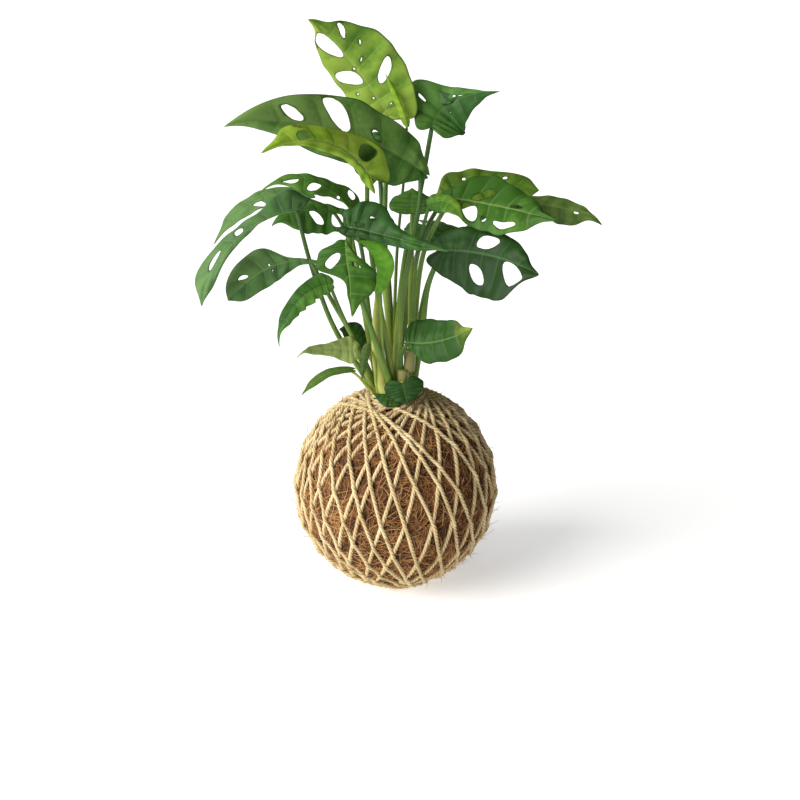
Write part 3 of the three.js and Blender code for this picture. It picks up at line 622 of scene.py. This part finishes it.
def cutHole(bm, hole, sign):
    # opens a hole between side veins: the faces in it go, and the rim's points move onto its outline
    s, r, halfAlong, halfAcross, taper, lean = (*hole, 0, 0)[:6]
    corners = blade["holeCorners"]

    def longAt(down):
        return halfAlong * max(blade["holeLeast"], 1 + taper * down)

    def inHole(x, y):
        # in the hole's own frame, where its outline is one away from the middle
        down = (abs(y) * 2 - r) / halfAcross
        along = ((x + 0.5) * veinSteps - s - lean * down) / longAt(down)
        return along, down, (abs(along) ** corners + abs(down) ** corners) ** (1 / corners)

    own = [face for face in bm.faces if face.calc_center_median().y * sign > 0]
    reach = {face: inHole(*face.calc_center_median().xy)[2] for face in own}
    inside = [face for face in own if reach[face] < 0.95] or [min(own, key=reach.get)]
    gone = set(inside)
    edges = {edge for face in inside for edge in face.edges}
    edges = [edge for edge in edges if any(face not in gone for face in edge.link_faces)]
    rim = {vert for edge in edges for vert in edge.verts}
    bmesh.ops.delete(bm, geom=inside, context="FACES")
    for vert in rim:
        along, down, away = inHole(vert.co.x, vert.co.y)
        along, down = along / away, down / away
        vert.co.x = (s + lean * down + along * longAt(down)) / veinSteps - 0.5
        vert.co.y = sign * max(0.01, min(0.985, r + down * halfAcross)) / 2
    near = {edge.other_vert(vert) for vert in rim for edge in vert.link_edges} - rim
    near = [vert for vert in near if abs(vert.co.y) > 0.01 and not vert.is_boundary]
    bmesh.ops.smooth_vert(bm, verts=near, factor=0.5, use_axis_x=True, use_axis_y=True)


def tornAt(s):
    # the teeth of a torn margin, none at either end of the leaf
    inside = min(1, max(0, (s - 1) / 1.5), max(0, (7.4 - s) / 1.5))
    return blade["tearDepth"] * ((1.15 * s + 0.2 * math.sin(2 * s)) % 1) * inside


def ageingAt(leaf, s, sign):
    start, end = leaf["aged"]
    return min(1, max(0, (s - start) / (end - start))) * (1 if sign < 0 else blade["agedRight"])


def liftAt(leaf, size, s, r, v, sign, seed, shifts):
    # how far the blade stands off its middle surface: quilting, lumps, the midrib's groove, the margin
    between = abs(math.sin(math.pi * s)) * (4 * r * (1 - r)) ** 0.7 * min(1, s / 2)
    lift = blade["quilt"] * size * size * between
    lump = noise.noise(Vector((s * 0.9, sign * r * 2.2, seed * 7.3)))
    lift += blade["lumps"] * size * lump * min(1, 3 * r)
    lift -= blade["ribDepth"] * size * math.exp(-(v / blade["ribWidth"]) ** 2)
    lift -= blade["edgeTurn"] * size * r ** 5
    shift = shifts[2 + (sign > 0)]
    lift += blade["ripple"] * size * r ** 3 * math.sin(blade["rippleWaves"] * s + shift)
    return lift


def makeBlade(leaf, materials, seed):
    rand = random.Random(seed)
    shifts = [rand.uniform(0, 6.28) for _ in range(6)]
    length = (Vector(leaf["tip"]) - Vector(leaf["base"])).length
    small = length < blade["smallLength"]
    alongSteps, halfSteps = blade["smallSteps"] if small else (blade["alongSteps"], blade["halfSteps"])
    bm = bmesh.new()
    bmesh.ops.create_grid(bm, x_segments=alongSteps, y_segments=2 * halfSteps, size=0.5)
    for side, sign in (("holesLeft", -1), ("holesRight", 1)):
        for hole in leaf[side]:
            cutHole(bm, hole, sign)
    leafMap = bm.loops.layers.uv.new("leafMap")
    tone, blush, rim = (bm.verts.layers.float.new(name) for name in ("tone", "blush", "rim"))
    for face in bm.faces:
        for loop in face.loops:
            loop[leafMap].uv = (loop.vert.co.x + 0.5, loop.vert.co.y + 0.5)
    size = min(1, max(*leaf["left"], *leaf["right"]) / blade["fullWaveAt"])
    tones = leaf["tone"] if isinstance(leaf["tone"], tuple) else (leaf["tone"],) * 4
    curled, curlEnd, curlHeight = leaf["curl"]
    for vert in bm.verts:
        s, r = (vert.co.x + 0.5) * veinSteps, abs(vert.co.y) * 2
        sign = -1 if vert.co.y < 0 else 1
        edgeAlong, edgeAcross = edgeOf(leaf, "left" if sign < 0 else "right", s)
        root = smooth(veinNumbers, veinRoots, s)
        u = root + (edgeAlong - root) * r
        uneven = 1
        for (share, waves), shift in zip(blade["uneven"], shifts):
            uneven += share * math.sin(waves * s + shift)
        if leaf["torn"] == sign:
            uneven -= tornAt(s)
        v = edgeAcross * r * uneven
        point, facing = surfacePoint(leaf, u, sign * v)
        lift = liftAt(leaf, size, s, r, v, sign, seed, shifts) * min(1, edgeAcross / blade["sharpUnder"])
        if sign == curled and s < curlEnd:
            lift += curlHeight * r * r * (1 - s / curlEnd)
        point += Vector(leaf["hook"]) * max(0, (u - blade["hookFrom"]) / (1 - blade["hookFrom"])) ** 2
        # each half gets its own tone: partly the leaf's own green, partly painted light and shade
        first, last = tones[2:] if sign > 0 else tones[:2]
        vert[tone] = first + (last - first) * s / veinSteps
        vert[blush] = ageingAt(leaf, s, sign)
        # the margin and hole rims, where the top paints its line of shade
        vert[rim] = float(vert.is_boundary)
        vert.co = (point + facing * (lift + blade["thickness"] / 2)) * mm
    bmesh.ops.remove_doubles(bm, verts=bm.verts, dist=0.02 * mm)
    bmesh.ops.reverse_faces(bm, faces=bm.faces)
    grown = bmesh.ops.solidify(bm, geom=bm.faces[:], thickness=blade["thickness"] * mm)["geom"]
    for face in grown:
        if isinstance(face, bmesh.types.BMFace):
            face.material_index = 1
    joinInto(bm, makeRib(leaf, size))
    piece = addObject(leaf["name"] + "_blade", bm, materials)
    subdivide(piece, 1)
    placePiece(piece, leaf["slot"], leaf["name"])


def makeRib(leaf, size):
    # the midrib stands out below the blade
    rib = bmesh.new()
    shares = [i / blade["ribSteps"] for i in range(blade["ribSteps"] + 1)]
    path = []
    for share in shares:
        point, facing = surfacePoint(leaf, 0.005 + 0.93 * share, 0)
        path.append((point - facing * (0.35 + blade["ribDepth"] * size)) * mm)
    thick = blade["ribRadius"] * (0.55 + 0.45 * size)
    sweep(rib, path, [thick * mm * (1 - 0.8 * share) for share in shares], 8)
    for face in rib.faces:
        face.material_index = 2
    return rib


leafMaterials = {slot: [leafTop(slot), leafUnder(slot), leafRib(slot)] for slot in leafLooks}
for number, leaf in enumerate(leaves):
    makeBlade(leaf, leafMaterials[leaf.get("look", leaf["slot"])], number)
print("leaves:", len(leaves))


# ---- stems and stalks

stems = {"left": (-10, -5), "front": (1, -11), "right": (11, 1), "back": (-2, 11)}
stalkShape = {
    "foot": 121,
    "top": 131,
    "endRadius": 1.65,
    "footRadius": 3.1,
    "flat": 0.82,
    "sides": 10,
    "steps": 30,
    "stemRadius": 4.5,
    "stemFoot": 96,
    "stemTop": 140,
    "stemSteps": 8,
    "oldFlat": 0.9,
    "oldSteps": 16,
    "tones": (-0.12, 0.22),
}
# the old, thick stalk in front, and the cut end of a removed one: stem, points, radii, tone
oldStalks = [
    ("front", [(1, -11, 124), (-5, -12, 135), (-9.6, -15, 150), (-12.2, -17, 165), (-12.8, -18, 187),
               (-11.4, -18, 207), (-9.4, -18, 225), (-7, -18, 240)], (4.2, 1.5), -0.12),
    ("right", [(9, -8, 128), (6, -16, 145), (5, -17, 153), (5, -17, 159)], (3.6, 3.9), 0.85),
    ("right", [(9.1, -14, 156), (9.6, -14, 163), (9.5, -14, 172)], (4.1, 4.3), 0.8),
]


def stemMaterial():
    material, tree, shader = newMaterial("green stalk", 0.42, 0.3)
    place = objectPlace(tree)
    height = spread(tree, splitUp(tree, place)["Z"], 0.13, 0.3)
    streak = noiseFrom(tree, place, 260, 3, (1, 1, 0.08))
    level = weigh(tree, (height, 0.4), (streak, 0.35))
    level = maths(tree, "ADD", level, attribute(tree, "tone"))
    green = ramp(tree, level, (0.1, "b0b45e"), (0.24, "8a9f42"), (0.4, "65832f"), (0.6, "426427"),
                 (0.8, "36552a"), (0.9, "75753f"))
    paint(tree, shader, green)
    bump(tree, shader, streak, 0.0006, 0.4)
    return material


def stalkPath(leaf):
    x, y = stems[leaf["stem"]]
    point, facing = surfacePoint(leaf, 0.03, 0)
    stops = [Vector((x, y, stalkShape["foot"])), Vector((x, y, stalkShape["top"]))]
    stops += [Vector(stop) for stop in leaf["via"]] + [point - facing * 0.7]
    return [stop * mm for stop in smoothPath(stops, stalkShape["steps"])]


def addStalk(bm, path, radii, tone, flat):
    part = bmesh.new()
    sweep(part, path, radii, stalkShape["sides"], flat)
    layer = part.verts.layers.float.new("tone")
    for vert in part.verts:
        vert[layer] = tone
    joinInto(bm, part)


def makeStem(name, material):
    rand = random.Random(name)
    bm = bmesh.new()
    bm.verts.layers.float.new("tone")
    x, y = stems[name]
    low, high, steps = stalkShape["stemFoot"], stalkShape["stemTop"], stalkShape["stemSteps"]
    path = [Vector((x, y, low + (high - low) * i / steps)) * mm for i in range(steps + 1)]
    radii = [stalkShape["stemRadius"] * mm * (1 - 0.2 * max(0, i - 5)) for i in range(steps + 1)]
    addStalk(bm, path, radii, 0, 1)
    for leaf in leaves:
        if leaf["stem"] != name:
            continue
        size = min(1, 0.5 + max(*leaf["left"], *leaf["right"]) / 40)
        path = stalkPath(leaf)
        radii = []
        for i in range(len(path)):
            foot = (1 - i / (len(path) - 1)) ** 2
            radius = stalkShape["endRadius"] * (1 - foot) + stalkShape["footRadius"] * foot
            radii.append(radius * size * mm)
        tone = leaf.get("stalkTone", rand.uniform(*stalkShape["tones"]))
        addStalk(bm, path, radii, tone, stalkShape["flat"])
    count = stalkShape["oldSteps"]
    for stem, stops, (thick, thin), tone in oldStalks:
        if stem == name:
            path = [stop * mm for stop in smoothPath([Vector(stop) for stop in stops], count)]
            radii = [(thick + (thin - thick) * (i / (count - 1)) ** 1.5) * mm for i in range(count)]
            addStalk(bm, path, radii, tone, stalkShape["oldFlat"])
    piece = addObject("stem_" + name + "_stalks", bm, [material])
    subdivide(piece, 1)
    placePiece(piece, "stem", "stem_" + name)


stalkMaterial = stemMaterial()
for stemName in stems:
    makeStem(stemName, stalkMaterial)
print("stems:", len(stems))


# ---- the coconut-fibre cover

ball = {
    "centre": Vector((0, 0, 68)),
    "radius": 67.0,
    "wall": 7,
    "mouth": 21,
    "flat": 17,
    "lumps": 1.4,  # how far the cover swells and dips
    "lipRoll": 1.5,  # how far the lip leans in
    "outerSteps": 90,
    "lipSteps": 6,
    "innerSteps": 24,
    "sides": 160,
}
fibres = {
    "count": 9500,
    "layers": 3,
    "points": 6,
    "radius": 0.17,
    "length": (9, 30),
    "heights": (-0.985, 0.955),  # where fibres start, from the ball's foot at -1 to its top at 1
    "bend": 0.26,
    "wander": 0.15,
    "strays": 320,
    "strayRise": 5.5,
    "seed": 4,
}


def coverMaterial():
    material, tree, shader = newMaterial("coir cover", 0.95, 0.1)
    place = objectPlace(tree)
    strands = noiseFrom(tree, place, 420, 6, (1, 1, 0.35))
    level = weigh(tree, (strands, 0.7), (noiseFrom(tree, place, 45, 3), 0.3))
    # dark brown: the coir's own brown, made darker as painted shade for the gaps between the loose fibres
    brown = ramp(tree, level, (0.35, "241815"), (0.5, "4a3223"), (0.68, "7a5534"))
    paint(tree, shader, brown)
    bump(tree, shader, strands, 0.002, 0.9)
    return material


def fibreMaterial():
    material, tree, shader = newMaterial("coir fibre", 0.7, 0.25)
    patches = noiseFrom(tree, objectPlace(tree), 30, 2)
    level = weigh(tree, (attribute(tree, "tone"), 0.7), (patches, 0.45))
    brown = ramp(tree, level, (0.2, "3c281c"), (0.42, "7f5430"), (0.65, "b07a47"), (0.95, "d8ae76"))
    paint(tree, shader, brown)
    return material


def coverHeight(direction):
    lump = noise.noise(direction * 4.5) * 0.6 + noise.noise(direction * 11) * 0.4
    return ball["lumps"] * lump


def makeCover(material):
    bm = bmesh.new()
    centre, radius, inner = ball["centre"].z, ball["radius"], ball["radius"] - ball["wall"]
    low = -math.acos(ball["flat"] / radius)
    high = math.acos(ball["mouth"] / radius)
    profile = [Vector((0, 0, 0)), Vector((ball["flat"], 0, 0))]
    for i in range(ball["outerSteps"] + 1):
        turn = low + (high - low) * i / ball["outerSteps"]
        profile.append(Vector((radius * math.cos(turn), 0, centre + radius * math.sin(turn))))
    lip = ball["wall"] / 2
    lipTop = centre + math.sqrt(radius ** 2 - ball["mouth"] ** 2)
    for i in range(1, ball["lipSteps"]):
        turn = math.pi * i / ball["lipSteps"]
        x = ball["mouth"] - ball["lipRoll"] * math.sin(turn)
        profile.append(Vector((x, 0, lipTop - lip + lip * math.cos(turn))))
    innerHigh = math.acos(ball["mouth"] / inner)
    for i in range(ball["innerSteps"] + 1):
        turn = innerHigh - (innerHigh + math.pi / 2) * i / ball["innerSteps"]
        profile.append(Vector((inner * math.cos(turn), 0, centre + inner * math.sin(turn))))
    verts = [bm.verts.new(point * mm) for point in profile]
    edges = [bm.edges.new(pair) for pair in zip(verts, verts[1:])]
    bmesh.ops.spin(bm, geom=verts + edges, cent=(0, 0, 0), axis=(0, 0, 1), angle=2 * math.pi,
                   steps=ball["sides"], use_merge=True)
    bmesh.ops.remove_doubles(bm, verts=bm.verts, dist=0.01 * mm)
    bmesh.ops.recalc_face_normals(bm, faces=bm.faces)
    for vert in bm.verts:
        direction = vert.co / mm - ball["centre"]
        if direction.length > radius - 1:
            vert.co += direction.normalized() * coverHeight(direction.normalized()) * mm
            vert.co.z = max(vert.co.z, 0)
    piece = addObject("coir_ball", bm, [material])
    placePiece(piece, "coir", "coir_cover")


def fibrePoints(rand, stray):
    # a fibre starts somewhere on the cover and wanders over it, now and then dipping in
    z = rand.uniform(*fibres["heights"])
    turn = rand.uniform(0, 2 * math.pi)
    level = math.sqrt(1 - z * z)
    out = Vector((level * math.cos(turn), level * math.sin(turn), z))
    flow = noise.noise(out * 2.5 + Vector((7, 1, 3))) * 4 + rand.gauss(0, 0.9)
    east = Vector((-out.y, out.x, 0)).normalized()
    heading = east * math.cos(flow) + out.cross(east) * math.sin(flow)
    length = rand.uniform(*fibres["length"]) * (0.55 if stray else 1)
    step = length / (fibres["points"] - 1)
    bend = rand.gauss(0, fibres["bend"])
    depth = rand.uniform(-0.3, 1.1)
    arch = rand.uniform(0, 1.0)
    radius = ball["radius"] + coverHeight(out)
    points = []
    for i in range(fibres["points"]):
        t = i / (fibres["points"] - 1)
        lift = depth + arch * math.sin(math.pi * t) - 0.4
        if stray:
            lift = 1 + fibres["strayRise"] * t ** 1.3 * (0.5 + arch)
        points.append(ball["centre"] + out * (radius + lift))
        out = (out + heading * (step / radius)).normalized()
        heading = (heading - out * heading.dot(out)).normalized()
        swerve = bend + rand.gauss(0, fibres["wander"])
        heading = (Matrix.Rotation(swerve, 3, out) @ heading).normalized()
    return points


def makeFibres(name, count, material, seed, stray=False):
    rand = random.Random(seed)
    curve = bpy.data.curves.new(name, "CURVE")
    curve.dimensions = "3D"
    curve.bevel_depth = fibres["radius"] * (0.8 if stray else 1) * mm
    curve.bevel_resolution = 0
    curve.use_fill_caps = False
    mouth = ball["mouth"] + 0.5
    for _ in range(count):
        points = fibrePoints(rand, stray)
        if any(math.hypot(p.x, p.y) < mouth and p.z > ball["centre"].z for p in points):
            continue
        if min(p.z for p in points) < 0.4:
            continue
        spline = curve.splines.new("POLY")
        spline.points.add(len(points) - 1)
        for i, (place, point) in enumerate(zip(spline.points, points)):
            place.co = (*(point * mm), 1)
            place.radius = 0.35 if i in (0, len(points) - 1) else 1
    holder = bpy.data.objects.new(name, curve)
    bpy.context.scene.collection.objects.link(holder)
    mesh = bpy.data.meshes.new_from_object(holder)
    bpy.data.objects.remove(holder)
    total = len(mesh.vertices)
    each = total // len(curve.splines)
    tones = [rand.random() for _ in curve.splines]
    tone = mesh.attributes.new("tone", "FLOAT", "POINT")
    tone.data.foreach_set("value", [tones[min(i // each, len(tones) - 1)] for i in range(total)])
    mesh.materials.clear()
    mesh.materials.append(material)
    mesh.name = name
    placePiece(showMesh(name, mesh), "coir")


makeCover(coverMaterial())
looseFibre = fibreMaterial()
for layer in range(fibres["layers"]):
    count = fibres["count"] // fibres["layers"]
    makeFibres("coir_fibres_" + str(layer + 1), count, looseFibre, fibres["seed"] + layer)
makeFibres("coir_strays", fibres["strays"], looseFibre, fibres["seed"] + 9, True)
print("coir cover and fibres")


# ---- twine

twine = {
    "radius": 1.4,
    "ringRadius": 68.0,  # from the ball's middle to the middle of the strand
    "plies": 3,
    "plyDepth": 0.26,
    "pitch": 9.5,  # mm of strand in one full turn of its plies
    "steps": 520,
    "sides": 12,
    "wander": ((0.2, 0.6), (2, 7)),  # mm to either side, waves round a loop
    "swell": ((0.02, 0.05), (5, 23)),  # share of the radius, waves round a loop
    "pressed": 0.5,  # how much of a strand's thickness it rises where it crosses another
    "sunk": 0.22,  # and how much the lower strand sinks there
    "mostRise": 2.3,
    "floorGap": 0.25,
    "perPiece": 10,  # loops in one object
}
# each loop is a circle round the ball: how far its axis leans from upright, and to which side, in degrees
twineLoops = [
    (74, 74), (73, 87), (73.6, 172.5), (73, 100), (74, 113), (73.4, -175), (73, 126), (77.3, -158),
    (74, 138), (74, 159), (73.5, 150), (76, -145), (76.5, -130), (74, -117), (73, -104), (74, -91),
    (73, -78), (74, -65), (68.2, -53), (70.6, -44), (68.3, -31), (70.3, -18), (74.8, -8), (72.8, 61),
    (65.9, 45), (69.8, 33.5), (71.7, 20), (73.9, 5),
]
# turns wound round the foot of the stems: radius, height, lean in degrees, side it leans to
collarTurns = [(19.6, 134.4, 4, 200), (17.6, 135.6, 7, 150), (16.2, 137.2, 5, 190), (18.2, 133.2, 3, 20)]


def twineMaterial():
    material, tree, shader = newMaterial("jute twine", 0.85, 0.15)
    place = objectPlace(tree)
    hair = noiseFrom(tree, place, 1300)
    patches = noiseFrom(tree, place, 60, 3)
    # painted shade: the straw is darker in the grooves between the plies
    level = weigh(tree, (hair, 0.5), (patches, 0.5), (attribute(tree, "plyGrooveShade"), 0.3))
    straw = ramp(tree, level, (0.35, "75613f"), (0.55, "ae9669"), (0.72, "cab487"), (0.9, "e2d0a8"))
    paint(tree, shader, straw)
    bump(tree, shader, hair, 0.0006, 0.7)
    return material


def loopTurn(lean, side):
    return Matrix.Rotation(math.radians(side), 3, "Z") @ Matrix.Rotation(math.radians(lean), 3, "Y")


def planRises():
    # where each loop crosses an earlier one it rises over it and the earlier one sinks:
    # [turn along the loop, height, half length]
    plans = [[] for _ in twineLoops]
    sinks = [[] for _ in twineLoops]
    thick = 2 * twine["radius"]
    for i, (lean, side) in enumerate(twineLoops):
        turn = loopTurn(lean, side)
        for j in range(i):
            other = loopTurn(*twineLoops[j])
            meet = turn.col[2].cross(other.col[2])
            half = (thick / max(meet.length, 0.15) + 2.5) / twine["ringRadius"]
            for sign in (1, -1):
                spot = meet.normalized() * sign
                mine, theirs = turn.transposed() @ spot, other.transposed() @ spot
                mineAt, theirsAt = (math.atan2(place.y, place.x) for place in (mine, theirs))
                height = thick * twine["pressed"] + riseAt(plans[j], theirsAt) * 0.5
                plans[i].append((mineAt, min(height, twine["mostRise"]), half))
                sinks[j].append((theirsAt, thick * twine["sunk"], half))
    return plans, sinks


def riseAt(rises, turn):
    best = 0
    for place, height, half in rises:
        away = abs((turn - place + math.pi) % (2 * math.pi) - math.pi)
        if away < half:
            best = max(best, height * 0.5 * (1 + math.cos(math.pi * away / half)))
    return best


def drawWaves(rand, sizes, counts):
    # three slow waves round a loop: size, how many, where they start
    return [(rand.uniform(*sizes), rand.randint(*counts), rand.uniform(0, 6.28)) for _ in range(3)]


def waveAt(waves, angle):
    return sum(size * math.sin(count * angle + start) for size, count, start in waves)


def strand(seed, ringRadius, steps, heightAt, placeAt):
    # a closed ring of twisted plies; heightAt lifts it outward and placeAt puts it in the scene
    rand = random.Random(seed)
    bm = bmesh.new()
    made = bmesh.ops.create_circle(bm, cap_ends=False, radius=twine["radius"] * mm, segments=twine["sides"])
    ring = made["verts"]
    bmesh.ops.rotate(bm, cent=(0, 0, 0), matrix=Matrix.Rotation(math.pi / 2, 3, "X"), verts=ring)
    bmesh.ops.translate(bm, vec=(ringRadius * mm, 0, 0), verts=ring)
    bmesh.ops.spin(bm, geom=ring + bm.edges[:], cent=(0, 0, 0), axis=(0, 0, 1), angle=2 * math.pi,
                   steps=steps, use_merge=True)
    plyGrooveShade = bm.verts.layers.float.new("plyGrooveShade")
    turns = round(2 * math.pi * ringRadius / twine["pitch"])
    wander = drawWaves(rand, *twine["wander"])
    swell = drawWaves(rand, *twine["swell"])
    known = {}
    for vert in bm.verts:
        x, y, z = vert.co / mm
        angle = math.atan2(y, x)
        key = round(angle, 4)
        if key not in known:
            known[key] = heightAt(angle), waveAt(wander, angle), 1 + waveAt(swell, angle)
        height, away, thick = known[key]
        section = math.atan2(z, math.hypot(x, y) - ringRadius)
        bulge = abs(math.cos(twine["plies"] / 2 * section)) ** 0.7
        # 1 on a ply's crown and less in the grooves between plies, for the painted groove shade
        vert[plyGrooveShade] = bulge
        reach = twine["radius"] * thick * (1 - twine["plyDepth"] * (1 - bulge))
        section += turns * angle
        out = ringRadius + height + reach * math.cos(section)
        up = reach * math.sin(section) + away
        place = placeAt(Vector((out * math.cos(angle), out * math.sin(angle), up)))
        place.z = max(place.z, twine["floorGap"])
        vert.co = place * mm
    return bm


def makeTwine(material):
    plans, sinks = planRises()
    strands = []
    for number, (lean, side) in enumerate(twineLoops):
        turn = loopTurn(lean, side)

        def heightAt(angle, rises=plans[number], dips=sinks[number]):
            return riseAt(rises, angle) - riseAt(dips, angle)

        def placeAt(point, turn=turn):
            return turn @ point + ball["centre"]

        strands.append((60 + number, twine["ringRadius"], twine["steps"], heightAt, placeAt))
    for number, (radius, height, lean, side) in enumerate(collarTurns):
        turn = loopTurn(lean, side)

        def placeCollar(point, turn=turn, height=height):
            return turn @ point + Vector((0, 0, height))

        steps = round(twine["steps"] * radius / twine["ringRadius"])
        strands.append((90 + number, radius, steps, lambda angle: 0, placeCollar))
    for start in range(0, len(strands), twine["perPiece"]):
        bm = bmesh.new()
        for values in strands[start:start + twine["perPiece"]]:
            joinInto(bm, strand(*values))
        piece = addObject("jute_twine_" + str(start // twine["perPiece"] + 1), bm, [material])
        placePiece(piece, "jute_twine", *(["twine_wrap"] if start == 0 else []))


makeTwine(twineMaterial())
print("twine loops:", len(twineLoops))


# ---- soil

def soilMaterial():
    material, tree, shader = newMaterial("potting soil", 1.0, 0.1)
    crumbs = noiseFrom(tree, objectPlace(tree), 500, 6)
    paint(tree, shader, ramp(tree, crumbs, (0.35, "140e0a"), (0.6, "3a2818")))
    bump(tree, shader, crumbs, 0.003, 1.0)
    return material


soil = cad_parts["soil_core"]
soil.data.materials.clear()
soil.data.materials.append(soilMaterial())
print("soil")
